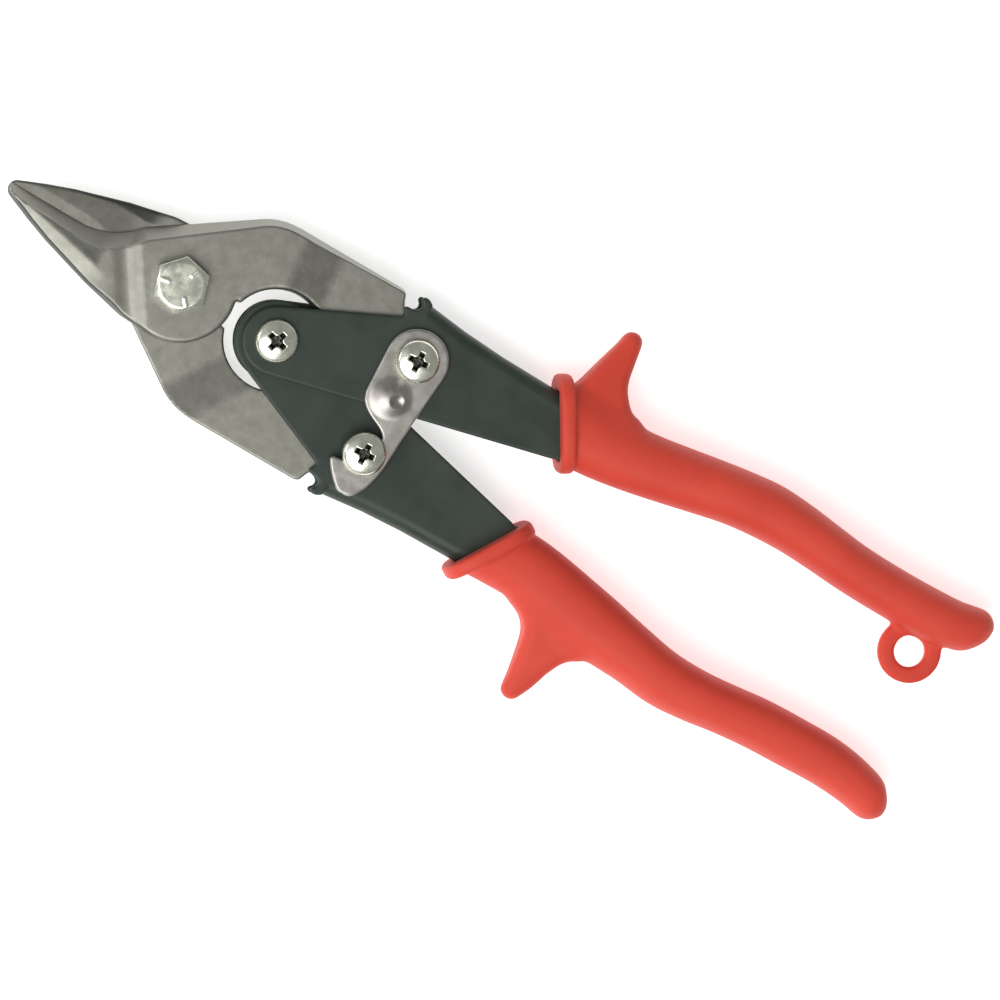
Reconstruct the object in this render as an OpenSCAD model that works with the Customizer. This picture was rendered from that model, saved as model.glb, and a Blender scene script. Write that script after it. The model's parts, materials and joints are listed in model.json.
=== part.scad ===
// Aviation snips, bulldog pattern: two crossed blades, two channel levers, a hook latch.
// X runs from the jaws (-X) to the handles (+X), Y towards the upper handle, Z up.
// The origin is on the axis of the pivot bolt, in the plane that the tool lies on.

/* [Linkage] */
// Distance from the pivot bolt to the crossing of the levers
hub_x = 24.4; // [24:0.1:25]
// Distance from the pivot bolt to the tang pivots, along the tool
tang_x = 53.3; // [53:0.1:54]
// Distance of each tang pivot from the centre line
tang_y = 11.7; // [11.5:0.1:12]
// Turn of the latch for each degree that the handles open
latch_ratio = 2.7; // [2.6:0.05:2.75]
// Height of the plane between the blades above the surface that the tool lies on
mid_z = 9.8; // [9.8:0.1:10.2]

/* [Blades] */
// Thickness of the forged blades
blade_t = 5; // [4.8:0.1:5.2]
// Gap between the two blades
blade_gap = 0.06; // [0.04:0.02:0.1]
// Radius of the blade hub
hub_r = 12.9; // [12.5:0.1:13]
// Radius of the arch that clears the lever hub
arch_r = 11.2; // [11:0.1:11.5]
// Radius of the tang's end
tang_r = 8; // [7.5:0.1:8]
// Plan width of the ground bevel behind the cutting edge
bevel_w = 3.4; // [3:0.1:3.6]

/* [Levers] */
// Thickness of the lever sheet
sheet_t = 1.55; // [1.4:0.05:1.55]
// Inside width of the folded channel
channel_w = 5.2; // [5.2:0.05:5.4]
// Radius of the outer plate round the lever hub
outer_plate_r = 7.6; // [7:0.1:8]
// Radius of the inner plate round the lever hub
inner_plate_r = 9; // [8.5:0.1:9.5]

/* [Fasteners] */
// Diameter of the pivot bolt
bolt_d = 6.35; // [6:0.05:6.4]
// Width of the bolt head across its flats
hex_af = 11.1; // [11:0.1:11.2]
// Height of the bolt head
hex_h = 4; // [3.8:0.1:4.2]
// Outside diameter of the sleeve nuts
sleeve_d = 6.4; // [6.2:0.1:6.4]
// Diameter of the screws in the sleeve nuts
screw_d = 4.2; // [4:0.1:4.2]
// Diameter of the screw heads
head_d = 9.7; // [9.4:0.1:10]
// Height of the screw heads
head_h = 2.5; // [2.3:0.1:2.6]
// Radial clearance of the running fits
fit = 0.05; // [0.03:0.01:0.08]
// Radial clearance of the rear blade's tang hole, which takes up the linkage's play
loose_fit = 0.3; // [0.25:0.05:0.4]

/* [Latch] */
// Thickness of the latch plate
latch_t = 1.5; // [1.3:0.1:1.5]
// Radius of the latch round its pivot
latch_r = 7.2; // [6.8:0.1:7.4]

/* [Spring] */
// Diameter of the return spring's wire
wire_d = 1.2; // [1:0.1:1.2]
// Mean radius of the return spring's coil
coil_r = 5.2; // [5:0.1:5.4]

/* [Grips] */
// Half of the greatest thickness of the grips
grip_half = 9.8; // [9.2:0.1:9.8]
// Thickness of the guard horns
horn_t = 9; // [8:0.5:10]
// Centre of the hanging hole along the tool
ring_x = 183.1; // [182:0.1:184]
// Radius of the hanging hole
ring_hole_r = 3.6; // [3.4:0.1:3.6]
// Outside radius of the hanging ring
ring_r = 7.2; // [6.9:0.1:7.5]
// Thickness of the hanging ring
ring_t = 3.2; // [3:0.1:4]

/* [Hidden] */
$fn = 64;
e = 0.01;
steel = [0.55, 0.54, 0.49];
zinc = [0.78, 0.79, 0.71];
lever_paint = [0.25, 0.29, 0.26];
nickel = [0.63, 0.61, 0.58];
vinyl = [0.84, 0.31, 0.26];

hub = [hub_x, 0];
tang_a = [tang_x, tang_y];
tang_b = [tang_x, -tang_y];
face = blade_gap / 2;
blade_top = face + blade_t;
// Each channel sits half a sheet off the middle, so that the plates nest in turn.
nest = sheet_t / 2 + face;
outer_in = nest + channel_w / 2;
outer_out = outer_in + sheet_t;
inner_in = channel_w / 2 - nest;
inner_out = inner_in + sheet_t;
tang_lo = nest - blade_t / 2;
tang_hi = nest + blade_t / 2;
sleeve_r = sleeve_d / 2;
screw_r = screw_d / 2;
latch_z = outer_out + 0.1;
latch_top = latch_z + latch_t;
neck_top = latch_top + 0.35;
jaw_arc = [-26, 18];
jaw_arc_r = 17;
corner_arc = [17, 9];
corner_arc_r = 15.3;
washer_t = 0.4;
flange_t = 1.6;

function arc(c, r, from, to, n = 8) =
    [for (i = [0 : n]) c + r * [cos(from + (to - from) * i / n), sin(from + (to - from) * i / n)]];
function turned(p, c, a) =
    c + [(p - c)[0] * cos(a) - (p - c)[1] * sin(a), (p - c)[0] * sin(a) + (p - c)[1] * cos(a)];
function unit(v) = v / norm(v);

module on_mid() translate([0, 0, mid_z]) children();
module at(p, z = 0) translate([p[0], p[1], z]) children();
module slab(lo, hi) translate([0, 0, lo]) linear_extrude(hi - lo) children();

// ---------------------------------------------------------------- blades
// Plan of a blade: toe, outer edge, hub, arch over the lever hub, tang, top edge, jaw.
blade_plan = concat(
    [[-43, 1], [-43, -0.6], [-42.3, -1.6], [-36, -4.3], [-30, -6.5], [-18, -10.1], [-8, -12.4]],
    arc([0, 0], hub_r, 262, 374, 18),
    arc(hub, arch_r, 164, 70, 14),
    arc(tang_a, tang_r, 252, 470, 24),
    [[47.2, 20.3], [45.6, 21.2], [45, 22.6], [44.6, 23.8], [43.6, 24.3]],
    arc(corner_arc, corner_arc_r, 90, 125, 6),
    arc(jaw_arc, jaw_arc_r, 320, 270, 10)
);
// Side view of a blade: flat jaw and hub, then the tang set down to the middle of its lever.
blade_side = [
    [-50, face], [18, face], [30, tang_lo], [70, tang_lo],
    [70, tang_hi], [28.5, tang_hi], [16.5, blade_top], [-50, blade_top]
];

// Ground bevel behind the cutting edge: a flat along the jaw, its curved corner, a flat along the tang.
bevel_foot = concat(
    [[-46, jaw_arc[1] - jaw_arc_r + 0.2]], arc(jaw_arc, jaw_arc_r - 0.2, 270, 318, 8),
    arc(corner_arc, corner_arc_r + 0.2, 125, 96, 3), [[10, 34], [-46, 34]]
);
bevel_head = concat(
    [[-46, jaw_arc[1] - jaw_arc_r - bevel_w]], arc(jaw_arc, jaw_arc_r + bevel_w, 270, 314, 8),
    arc(corner_arc, corner_arc_r - 1.5, 125, 96, 3), [[10, 34], [-46, 34]]
);
module bevel_cut() {
    n = len(bevel_foot);
    polyhedron(concat(
        [for (p = bevel_foot) [p[0], p[1], face + 0.1]],
        [for (p = bevel_head) [p[0], p[1], blade_top + 0.2]]
    ), concat(
        [[for (k = [0 : n - 1]) k]],
        [for (k = [0 : n - 1]) each [
            [k, n + k, (k + 1) % n], [(k + 1) % n, n + k, n + (k + 1) % n]]],
        [[for (k = [n - 1 : -1 : 0]) n + k]]
    ));
}
// The front blade's shape; hole_r is the radius of its tang hole.
module blade(bolt_hole_r, hole_r) {
    difference() {
        intersection() {
            slab(-6, 6) polygon(blade_plan);
            translate([0, 40, 0]) rotate([90, 0, 0]) linear_extrude(80) polygon(blade_side);
        }
        bevel_cut();
        translate([0, 0, -7]) cylinder(h = 14, r = bolt_hole_r);
        at(tang_a, -7) cylinder(h = 14, r = hole_r);
    }
}
module front_blade() on_mid() color(steel) blade(bolt_d / 2 + fit, sleeve_r + fit);
module rear_blade() on_mid() color(steel)
    rotate([180, 0, 0]) blade(bolt_d / 2 + fit, sleeve_r + loose_fit);

// ---------------------------------------------------------------- pivot bolt
bolt_corner = 47.6;
// Length, width and height of the three raised grade dashes.
grade_dash = [1.9, 0.6, 0.2];
module hexagon(h) rotate(bolt_corner) cylinder(h = h, d = hex_af / cos(30), $fn = 6);
module head_cone(h, top_r) rotate_extrude()
    polygon([[0, 0], [top_r + 2, 0], [top_r + 2, h - 1.1], [top_r, h], [0, h]]);
module pivot_bolt() color(zinc) {
    translate([0, 0, mid_z + blade_top]) {
        intersection() {
            hexagon(hex_h);
            head_cone(hex_h, hex_af / 2 - 0.5);
        }
        for (a = [24, 144, 264]) rotate(bolt_corner + a)
            translate([2.9, -grade_dash[1] / 2, hex_h - e]) cube(grade_dash);
    }
    rotate_extrude() polygon([
        [0, 0], [bolt_d / 2 - 0.5, 0], [bolt_d / 2, 0.5],
        [bolt_d / 2, mid_z + blade_top + e], [0, mid_z + blade_top + e]
    ]);
}
washer_h = 0.8;
nut_h = 3.2;
module pivot_washer() color(zinc) translate([0, 0, mid_z - blade_top - washer_h]) difference() {
    cylinder(h = washer_h, r = 6.6);
    translate([0, 0, -1]) cylinder(h = washer_h + 2, r = bolt_d / 2 + fit);
}
module pivot_nut() color(zinc) translate([0, 0, mid_z - blade_top - washer_h - nut_h]) difference() {
    intersection() {
        hexagon(nut_h);
        translate([0, 0, nut_h]) mirror([0, 0, 1]) head_cone(nut_h, hex_af / 2 - 0.5);
    }
    translate([0, 0, -1]) cylinder(h = nut_h + 2, r = bolt_d / 2 + fit);
}

// ---------------------------------------------------------------- levers
tail_in = [[90, 8.2], [97, 10.8], [104, 12.2], [116, 14.6], [134, 18.2], [150, 18.4]];
tail_out = [
    [150, 23.2], [134, 24.4], [116, 22.8], [104, 21.2], [96, 21.5], [82, 22.1], [70, 22.3], [60, 22.9]
];
lug = [
    [50.5, 24], [49.4, 24.8], [48.3, 25], [47.6, 24.6], [47.6, 23.9], [48.3, 23.3], [48.5, 22.4],
    [47.9, 21.6], [46.8, 21.2], [45.6, 21.2], [45, 20.8], [45.9, 18.8]
];
// Plan of one plate: plate_r round the hub, out_a and in_a the slopes of its edges near the hub.
function plate_plan(plate_r, out_a, in_a, in_pts) = concat(
    arc(hub, plate_r, 90 + out_a, 270 + in_a, 18),
    in_pts, tail_in, arc([157, 20.8], 2.4, 280, 435, 6), tail_out, lug
);
outer_plan = plate_plan(outer_plate_r, 25.3, 13.7, []);
inner_plan = plate_plan(inner_plate_r, 21.8, 8, [[58, 0.8]]);
spine_zone = [
    [50.5, 20.9], [82, 19.5], [96, 18.4], [104, 18.4], [116, 19.6], [134, 21.3], [150, 20.8],
    [165, 20.6], [165, 30], [50.5, 30]
];
module spine_plan() intersection() {
    difference() {
        polygon(outer_plan);
        offset(delta = -sheet_t) polygon(outer_plan);
    }
    polygon(spine_zone);
}
// A lever with its outer plate in front and its inner plate behind.
module lever() difference() {
    union() {
        slab(outer_in, outer_out) polygon(outer_plan);
        slab(-inner_out, -inner_in) polygon(inner_plan);
        slab(-inner_out + e, outer_out - e) spine_plan();
    }
    at(hub, -8) cylinder(h = 16, r = sleeve_r + fit);
    at(tang_a, -8) cylinder(h = 16, r = sleeve_r + fit);
}
module upper_lever() on_mid() color(lever_paint) lever();
module lower_lever() on_mid() color(lever_paint) rotate([180, 0, 0]) lever();

// ---------------------------------------------------------------- sleeve nuts and screws
// Sleeve nut with its flange below lo and its barrel up to hi.
module sleeve(p, lo, hi) on_mid() color(zinc) at(p) difference() {
    union() {
        slab(lo - flange_t, lo) circle(r = sleeve_r + 2.2);
        slab(lo - e, hi) circle(r = sleeve_r);
    }
    slab(lo - flange_t + 0.8, hi + 1) circle(r = screw_r + fit);
}
module hub_sleeve() sleeve(hub, -outer_out - washer_t - 0.1, outer_out);
module upper_tang_sleeve() sleeve(tang_a, -inner_out - fit, latch_top + 0.05);
module lower_tang_sleeve() sleeve(tang_b, -outer_out - fit, outer_out - 0.05);

module cross_recess() {
    for (a = [0, 90]) rotate(a) translate([-2.5, -0.55, head_h - 1.3]) cube([5, 1.1, 2]);
    translate([0, 0, head_h - 1.7]) cylinder(h = 1.8, r1 = 0.6, r2 = 1.3);
}
// Pan head with its underside at z, shank down to shank_lo, recess turned by a.
module pan_screw(p, z, shank_lo, a) on_mid() color(zinc) at(p) {
    translate([0, 0, z]) difference() {
        rotate_extrude() polygon(concat(
            [[0, 0], [head_d / 2 - 0.3, 0], [head_d / 2, 0.3], [head_d / 2, 1]],
            [for (a = [10 : 10 : 80]) [head_d / 2 - 1.9 * (1 - cos(a)), 1 + (head_h - 1) * sin(a)]],
            [[0, head_h]]
        ));
        rotate(a) cross_recess();
    }
    slab(shank_lo, z + 0.5) circle(r = screw_r);
}
module hub_screw() pan_screw(hub, outer_out + fit, -3, -15);
module upper_tang_screw() pan_screw(tang_a, latch_top + 0.1 + washer_t, -2, 4);
module lower_tang_screw() pan_screw(tang_b, neck_top, -3, 4);

// Washer between the lower lever's back plate and the flange of the hub's sleeve nut.
module hub_washer() on_mid() color(zinc) at(hub, -outer_out - washer_t - fit) difference() {
    cylinder(h = washer_t, r = sleeve_r + 2.4);
    translate([0, 0, -1]) cylinder(h = washer_t + 2, r = sleeve_r + fit);
}
module hub_spacer() on_mid() color(zinc) at(hub) difference() {
    slab(-inner_in + fit, inner_in - fit) circle(r = sleeve_r + 1);
    slab(-5, 5) circle(r = sleeve_r + fit);
}

// ---------------------------------------------------------------- return spring
// Torsion spring: a coil of one and a half turns, and a leg on the inner plate's edge of each lever.
coil_from = 86;
coil_to = coil_from + 548;
coil_half = 0.94;
leg_end = [45, 3.76];
leg_tip = 2.6;
wire_path = concat(
    [[leg_end[0], leg_end[1], leg_tip], [leg_end[0], leg_end[1], coil_half + 0.7],
     [leg_end[0] - 0.7, leg_end[1] + 0.05, coil_half]],
    [for (i = [0 : 45]) let (a = coil_from + (coil_to - coil_from) * i / 45)
        [hub_x + coil_r * cos(a), coil_r * sin(a), coil_half * (1 - 2 * i / 45)]],
    [[leg_end[0] - 0.7, -leg_end[1] - 0.05, -coil_half], [leg_end[0], -leg_end[1], -coil_half - 0.7],
     [leg_end[0], -leg_end[1], -leg_tip]]
);
module return_spring() on_mid() color(steel) wire(wire_path, wire_d / 2, 8);

// Wire of radius r along pts: a ring of n points square to the path at each point.
function along(p, i) = unit(p[min(i + 1, len(p) - 1)] - p[max(i - 1, 0)]);
function side_of(d) = unit(cross(d, abs(d[2]) > 0.8 ? [0, 1, 0] : [0, 0, 1]));
module wire(p, r, n) {
    rings = [for (i = [0 : len(p) - 1]) let (d = along(p, i), s = side_of(d), t = cross(s, d))
        for (k = [0 : n - 1]) p[i] + r * (s * cos(360 * k / n) + t * sin(360 * k / n))];
    last = (len(p) - 1) * n;
    polyhedron(rings, concat(
        [[for (k = [n - 1 : -1 : 0]) k]],
        [for (i = [0 : len(p) - 2]) for (k = [0 : n - 1])
            [i * n + k, i * n + (k + 1) % n, (i + 1) * n + (k + 1) % n, (i + 1) * n + k]],
        [[for (k = [0 : n - 1]) last + k]]
    ));
}

// ---------------------------------------------------------------- latch
// Place of the lower screw's neck seen from the latch, when the handles are open by m degrees.
function neck_seen(m) = turned(turned(tang_b, hub, -m), tang_a, -latch_ratio * m);
neck_room = screw_r + 0.25;
function slot_floor(m) = let (t = unit(neck_seen(m + 0.5) - neck_seen(max(m - 0.5, 0))))
    neck_seen(m) + neck_room * [-t[1], t[0]];
latch_plan = concat(
    arc(tang_a, latch_r, -12, 188, 16),
    [[46.7, 0.4], [47, -15.2], [47.9, -17.4], [51.4, -21], [52.6, -21.7]],
    arc([54.2, -19.4], 2.3, 255, 320, 3),
    [[57.9, -17.7], [59, -13.4], [59.4, -2]]
);
slot_plan = concat(
    arc(tang_b, neck_room, 60, -70, 6),
    [for (m = [0.5 : 1 : 9.5]) slot_floor(m)],
    [[40, -18], [40, 1], [46.5, 0.3], [47.4, -1.5], [49.6, -3.5], [54.2, -5.4], [55.6, -7.2]]
);
dome_at = [52.3, 1.8];
dome_r = 4.1;
dome_h = 1.3;
module latch() on_mid() color(nickel) difference() {
    union() {
        slab(latch_z, latch_top) difference() {
            polygon(latch_plan);
            polygon(slot_plan);
        }
        at(dome_at, latch_top - e) rotate_extrude() polygon(concat(
            [[0, 0]], [for (a = [0 : 15 : 90]) [dome_r * cos(a), dome_h * sin(a)]]));
    }
    at(tang_a, latch_z - 1) cylinder(h = latch_t + 2, r = sleeve_r + fit);
}
module latch_washer() on_mid() color(zinc) at(tang_a, latch_top + 0.08) difference() {
    cylinder(h = washer_t, r = 4.5);
    translate([0, 0, -1]) cylinder(h = washer_t + 2, r = screw_r + fit);
}

// ---------------------------------------------------------------- grips
// Each station: inner point, outer point, half thickness.
upper_body = [
    [[93.6, 6.3], [82.3, 25], 8.4], [[94.6, 6.1], [83.2, 25.5], 9.2], [[96.3, 7.1], [85.4, 25.4], 9.2],
    [[97.7, 8.7], [87.6, 24.4], 8.3], [[101.5, 9.3], [97, 24], 8.3], [[106, 9.9], [106, 24.8], 8.4],
    [[116, 12], [117, 26.2], 9], [[124, 13.7], [125, 27.5], 9.5], [[132, 15.4], [133, 28.7], 9.8],
    [[138, 16.1], [139, 29.3], 9.8], [[146, 16.5], [147, 28.9], 9.8], [[160, 15.8], [161, 27.3], 9.4],
    [[172, 15.4], [172, 27], 9], [[182, 15.6], [182, 27.1], 8.7], [[188, 16.1], [188, 27.5], 8.2],
    [[192.4, 17.4], [192.4, 28.4], 7.2], [[195, 18.9], [195, 28.1], 5], [[196.6, 21.4], [196.6, 26.8], 2.6]
];
lower_body = [
    [[93.2, 6], [82, 24.4], 8.4], [[94.2, 5.8], [82.8, 24.8], 9.2], [[96, 6.7], [85, 24.6], 9.2],
    [[97.6, 8], [87, 23.1], 8.3], [[102, 8.4], [97.5, 22.8], 8.3], [[107, 9.2], [107, 24.6], 8.5],
    [[113, 10.2], [113, 26.2], 8.9], [[120, 11.5], [120, 26.6], 9.4], [[128, 13.2], [128, 26.9], 9.7],
    [[138, 14.9], [138, 27.7], 9.8], [[146, 15], [146, 27.1], 9.8], [[160, 13.6], [160, 25.4], 9.4],
    [[170, 13.2], [170, 25], 9], [[180, 13.3], [180, 24.7], 8.7], [[187, 14.4], [187, 25.2], 8.2],
    [[191.6, 15.8], [191.6, 26], 7.2], [[194, 17.4], [194, 25.8], 5.2], [[195.8, 20], [195.8, 23.4], 2.8]
];
upper_horn = concat(
    [[90, 16], [87.4, 25.2], [89.3, 32.6], [91, 38.8]], arc([93.4, 39.8], 2.3, 165, 10, 6),
    [[96.2, 36.6], [96.8, 32.7], [97.6, 30], [99.5, 27.6], [101.3, 25.8], [104, 25], [106, 16]]
);
lower_horn = concat(
    [[100, 16], [99, 22.6], [101.8, 24.2], [103.6, 25.9], [105, 28.2], [105.9, 32.9], [106.6, 37.4]],
    arc([109.1, 40.2], 2.3, 170, 20, 6), [[112.8, 37.7], [113.9, 33.7], [115.4, 30.2], [117.1, 28.2],
    [118.8, 26.9], [119, 18]]
);
section_n = 20;
section_power = 2.5;
function bent(c) = sign(c) * pow(abs(c), 2 / section_power);
function ring_points(s, thick) = let (mid = (s[0] + s[1]) / 2, half = (s[1] - s[0]) / 2)
    [for (k = [0 : section_n - 1]) let (a = 360 * k / section_n, w = bent(cos(a)))
        [mid[0] + half[0] * w, mid[1] + half[1] * w, s[2] * thick / 9.8 * bent(sin(a))]];
module body(stations) {
    n = section_n;
    last = (len(stations) - 1) * n;
    polyhedron([for (s = stations) each ring_points(s, grip_half)], concat(
        [[for (k = [0 : n - 1]) k]],
        [for (i = [0 : len(stations) - 2]) for (k = [0 : n - 1]) each [
            [i * n + k, (i + 1) * n + k, i * n + (k + 1) % n],
            [i * n + (k + 1) % n, (i + 1) * n + k, (i + 1) * n + (k + 1) % n]]],
        [[for (k = [n - 1 : -1 : 0]) last + k]]
    ));
}
ring_at = [ring_x, 11.9];
// A grip round the tail of a lever, with its guard horn.
module grip(stations, horn) difference() {
    union() {
        body(stations);
        slab(-horn_t / 2, horn_t / 2) polygon(horn);
        children();
    }
    slab(-inner_out - 0.03, outer_out + 0.03) intersection() {
        offset(delta = 0.03) polygon(outer_plan);
        translate([70, 0]) square([100, 40]);
    }
}
module upper_grip() on_mid() color(vinyl) difference() {
    grip(upper_body, upper_horn) slab(-ring_t / 2, ring_t / 2) union() {
        at(ring_at) circle(r = ring_r);
        translate([ring_x - ring_r, ring_at[1]]) square([2 * ring_r, 6]);
    }
    at(ring_at, -15) cylinder(h = 30, r = ring_hole_r);
}
module lower_grip() on_mid() color(vinyl) rotate([180, 0, 0]) grip(lower_body, lower_horn);

front_blade();
rear_blade();
pivot_bolt();
pivot_washer();
pivot_nut();
upper_lever();
lower_lever();
hub_sleeve();
hub_screw();
hub_washer();
hub_spacer();
return_spring();
upper_tang_sleeve();
upper_tang_screw();
lower_tang_sleeve();
lower_tang_screw();
latch();
latch_washer();
upper_grip();
lower_grip();
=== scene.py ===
"""Aviation snips with red vinyl grips: the looks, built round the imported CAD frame.

Shapes are written in millimetres in the frame's axes, X towards the handles and Y towards the upper
handle, with heights measured from the plane between the two blades. Each solid is a field, negative
inside, and becomes a mesh in metres along the surface where its field is zero.
"""

import json
import math

import bmesh
import bpy
import numpy as np
from mathutils import Matrix, Vector


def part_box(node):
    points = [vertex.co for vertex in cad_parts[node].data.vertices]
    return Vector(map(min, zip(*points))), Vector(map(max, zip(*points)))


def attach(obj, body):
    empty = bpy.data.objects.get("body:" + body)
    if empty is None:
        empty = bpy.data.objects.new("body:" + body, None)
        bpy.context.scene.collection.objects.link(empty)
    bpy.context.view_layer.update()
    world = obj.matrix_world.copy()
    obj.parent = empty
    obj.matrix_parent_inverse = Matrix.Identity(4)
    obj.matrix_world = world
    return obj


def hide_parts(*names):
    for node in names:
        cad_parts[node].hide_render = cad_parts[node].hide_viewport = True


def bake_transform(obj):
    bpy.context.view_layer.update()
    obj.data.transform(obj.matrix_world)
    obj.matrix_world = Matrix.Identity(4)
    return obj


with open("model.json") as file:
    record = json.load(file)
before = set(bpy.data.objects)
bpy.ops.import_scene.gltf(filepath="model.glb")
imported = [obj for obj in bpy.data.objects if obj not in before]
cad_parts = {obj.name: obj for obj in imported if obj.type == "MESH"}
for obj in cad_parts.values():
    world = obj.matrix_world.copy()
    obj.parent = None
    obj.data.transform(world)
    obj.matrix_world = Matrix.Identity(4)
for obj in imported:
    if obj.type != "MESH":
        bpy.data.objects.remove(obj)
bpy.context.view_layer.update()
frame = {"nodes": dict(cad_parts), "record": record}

# ------------------------------------------------------------------ places read from the frame
MM = 0.001


def centre(node):
    """Centre of a CAD node's box in plan, in millimetres."""
    low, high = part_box(node)
    return ((low.x + high.x) / 2 / MM, (low.y + high.y) / 2 / MM)


def heights(node):
    """Lowest and highest level of a CAD node, in millimetres above the rest plane."""
    low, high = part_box(node)
    return low.z / MM, high.z / MM


MID_Z = (heights("front_blade")[1] + heights("rear_blade")[0]) / 2
HUB = centre("hub_sleeve")
TANG = centre("upper_tang_sleeve")
LOWER_TANG = centre("lower_tang_sleeve")
BLADE_TOP = heights("front_blade")[1] - MID_Z
FACE = 0.03
TANG_DROP = FACE + MID_Z - heights("front_blade")[0]
hole = next(m for m in frame["record"]["mounts"] if m["name"] == "hanging_hole")
RING = (hole["pos_m"][0] / MM, hole["pos_m"][1] / MM)
RING_HOLE_R, RING_HALF = hole["dims"]["r_mm"], hole["dims"]["length_mm"] / 2
RING_R = 7.2
# Radii of the holes for the bolt, for a sleeve and for the sleeve of the opened pivot.
BOLT_HOLE_R, SLEEVE_HOLE_R, LOOSE_HOLE_R = 3.225, 3.25, 3.5

# ------------------------------------------------------------------ outlines
def arc(c, r, start, end, n=8):
    """Points on an arc about c, from one angle to another, in degrees."""
    turns = [math.radians(start + (end - start) * i / n) for i in range(n + 1)]
    return [(c[0] + r * math.cos(a), c[1] + r * math.sin(a)) for a in turns]


def rounded(points, reach, least_turn=8):
    """A closed outline whose corners are curves that begin up to reach away from each corner."""
    out = []
    for before, p, after in zip(points[-1:] + points[:-1], points, points[1:] + points[:1]):
        a, b, c = np.array(before), np.array(p), np.array(after)
        la, lc = np.linalg.norm(a - b), np.linalg.norm(c - b)
        turn = math.degrees(math.acos(np.clip(np.dot(b - a, c - b) / la / lc, -1, 1)))
        if turn < least_turn:
            out.append(tuple(b))
            continue
        start, end = b + (a - b) * min(reach / la, 0.45), b + (c - b) * min(reach / lc, 0.45)
        for t in (0, 0.25, 0.5, 0.75, 1):
            out.append(tuple((1 - t) ** 2 * start + 2 * t * (1 - t) * b + t * t * end))
    return out


# ------------------------------------------------------------------ fields
def path_distance(points, x, y):
    """Distance in plan to an open line of points."""
    best = np.full(np.broadcast(x, y).shape, 1e9)
    for (ax, ay), (bx, by) in zip(points[:-1], points[1:]):
        ex, ey = bx - ax, by - ay
        t = np.clip(((x - ax) * ex + (y - ay) * ey) / (ex * ex + ey * ey), 0, 1)
        best = np.minimum(best, (x - ax - t * ex) ** 2 + (y - ay - t * ey) ** 2)
    return np.sqrt(best)


def outline_distance(points, x, y):
    """Distance in plan to a closed outline, negative inside it."""
    inside = np.zeros(np.broadcast(x, y).shape, bool)
    for (ax, ay), (bx, by) in zip(points, points[1:] + points[:1]):
        if ay != by:
            inside ^= ((ay > y) != (by > y)) & (x < (y - ay) * (bx - ax) / (by - ay) + ax)
    return np.where(inside, -1, 1) * path_distance(points + points[:1], x, y)


def meet(a, b, r):
    """Where two fields overlap, with a round edge of radius r."""
    return np.minimum(np.maximum(a, b), -r) + np.hypot(np.maximum(a + r, 0), np.maximum(b + r, 0))


def join(a, b, k):
    """Two fields as one, with a fillet about k wide."""
    h = np.clip(0.5 + 0.5 * (b - a) / k, 0, 1)
    return b * (1 - h) + a * h - k * h * (1 - h)


def cut(a, b, k):
    """Field a with b taken away, with an edge softened over k."""
    return -join(-a, b, k)


def ramp(t, start, end):
    """0 before start, 1 after end, with eased ends."""
    t = np.clip((t - start) / (end - start), 0, 1)
    return t * t * (3 - 2 * t)


def slope(t, start, end, soft=0.12):
    """0 before start, 1 after end, and straight between them but for a short bend at each end."""
    t = (t - start) / (end - start)
    above = -join(-t, 0 * t, soft)
    return join(above, 0 * t + 1, soft)


# ------------------------------------------------------------------ meshes
CORNERS = [(i, j, k) for i in (0, 1) for j in (0, 1) for k in (0, 1)]
EDGES = [(a, b) for a in range(8) for b in range(a + 1, 8)
         if sum(abs(p - q) for p, q in zip(CORNERS[a], CORNERS[b])) == 1]


def surface(shape, low, high, step):
    """Points and four-sided faces along the zero level of shape(x, y, z) inside a box."""
    x, y, z = (np.arange(a, b + step, step) for a, b in zip(low, high))
    field = shape(x[:, None, None], y[None, :, None], z[None, None, :])
    field = np.ascontiguousarray(np.broadcast_to(field, (len(x), len(y), len(z))), dtype=float)
    inside = field < 0
    near = np.zeros(tuple(n - 1 for n in field.shape), np.int8)
    for i, j, k in CORNERS:
        near += inside[i:i + near.shape[0], j:j + near.shape[1], k:k + near.shape[2]]
    cells = np.argwhere((near > 0) & (near < 8))
    number = np.full(near.shape, -1)
    number[tuple(cells.T)] = np.arange(len(cells))
    values = np.stack([field[tuple((cells + c).T)] for c in CORNERS], 1)
    total, count = np.zeros((len(cells), 3)), np.zeros((len(cells), 1))
    for a, b in EDGES:
        va, vb = values[:, a], values[:, b]
        crossed = (va < 0) != (vb < 0)
        t = np.where(crossed, va / np.where(crossed, va - vb, 1), 0)[:, None]
        point = np.array(CORNERS[a]) + t * (np.array(CORNERS[b]) - np.array(CORNERS[a]))
        total += point * crossed[:, None]
        count += crossed[:, None]
    points = cells + total / count
    for _ in range(3):
        points = onto_surface(field, points)
    faces = []
    for axis in range(3):
        others = [a for a in range(3) if a != axis]
        along = [slice(None)] * 3
        along[axis] = slice(0, -1)
        beyond = list(along)
        beyond[axis] = slice(1, None)
        change = inside[tuple(along)] != inside[tuple(beyond)]
        for a in others:
            change[tuple(slice(None) if b != a else slice(0, 1) for b in range(3))] = False
            change[tuple(slice(None) if b != a else slice(-1, None) for b in range(3))] = False
        at = np.argwhere(change)
        out = inside[tuple(at.T)]
        if axis == 1:
            out = ~out
        ring = []
        for da, db in ((-1, -1), (0, -1), (0, 0), (-1, 0)):
            cell = at.copy()
            cell[:, others[0]] += da
            cell[:, others[1]] += db
            ring.append(number[tuple(cell.T)])
        ring = np.stack(ring, 1)
        faces.append(np.where(out[:, None], ring, ring[:, ::-1]))
    points = points * step + np.array(low)
    return points, np.concatenate(faces)


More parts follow.
